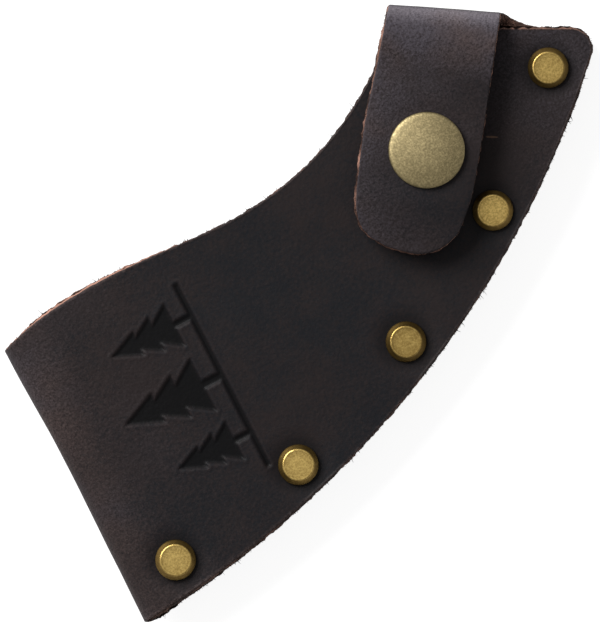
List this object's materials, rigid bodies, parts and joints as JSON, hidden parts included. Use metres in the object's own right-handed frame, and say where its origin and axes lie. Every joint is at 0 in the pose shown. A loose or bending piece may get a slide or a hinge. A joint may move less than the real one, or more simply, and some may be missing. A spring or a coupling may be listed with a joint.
{
  "type": "axe blade sheath",
  "caption": "Folded leather sheath for an axe blade, riveted along the cutting edge, with a strap that snaps shut over its end.",
  "frame": {"origin": "middle of the bounding box, on the surface that the sheath lies on", "axes": "+X from the folded edge to the heel end, +Y towards the open mouth, +Z out of the front, where the snap is"},
  "size_m": [0.1302, 0.0856, 0.0197],
  "materials": {
    "hide": "waxed dark brown pull-up leather, matt",
    "welt": "raw-edged dark leather",
    "rivet_brass": "antique brass, satin",
    "snap_brass": "antique brass, speckled and matt",
    "snap_inner": "antique brass, satin",
    "spring_steel": "spring wire"
  },
  "bodies": {
    "sheath": {"leather_body": "hide", "welt_front": "welt", "welt_back": "welt", "strap_lower_bend": "hide", "rivet_cap_1": "rivet_brass", "rivet_cap_2": "rivet_brass", "rivet_cap_3": "rivet_brass", "rivet_cap_4": "rivet_brass", "rivet_cap_5": "rivet_brass", "rivet_post_1": "rivet_brass", "rivet_post_2": "rivet_brass", "rivet_post_3": "rivet_brass", "rivet_post_4": "rivet_brass", "rivet_post_5": "rivet_brass", "snap_stud": "snap_inner", "snap_eyelet": "snap_inner"},
    "strap_bridge": {"strap_bridge": "hide", "strap_upper_bend": "hide"},
    "strap": {"closure_strap": "hide", "snap_cap": "snap_brass", "snap_socket": "snap_inner", "snap_spring": "spring_steel"}
  },
  "joints": [
    {"name": "strap_upper_fold", "type": "hinge", "parent": "strap_bridge", "child": "strap", "pos_m": [0.04118, 0.03478, 0.01516], "axis": [-0.8536, 0.521, 0], "range_deg": [0, 90], "deforming": ["strap_upper_bend", "snap_spring"]},
    {"name": "strap_lower_fold", "type": "hinge", "parent": "sheath", "child": "strap_bridge", "pos_m": [0.04157, 0.03543, 0.00318], "axis": [-0.8536, 0.521, 0], "range_deg": [0, 77], "deforming": ["strap_lower_bend"]}
  ],
  "couplings": [
    {"joint": "strap_lower_fold", "follows": "strap_upper_fold", "ratio": 0.85}
  ]
}
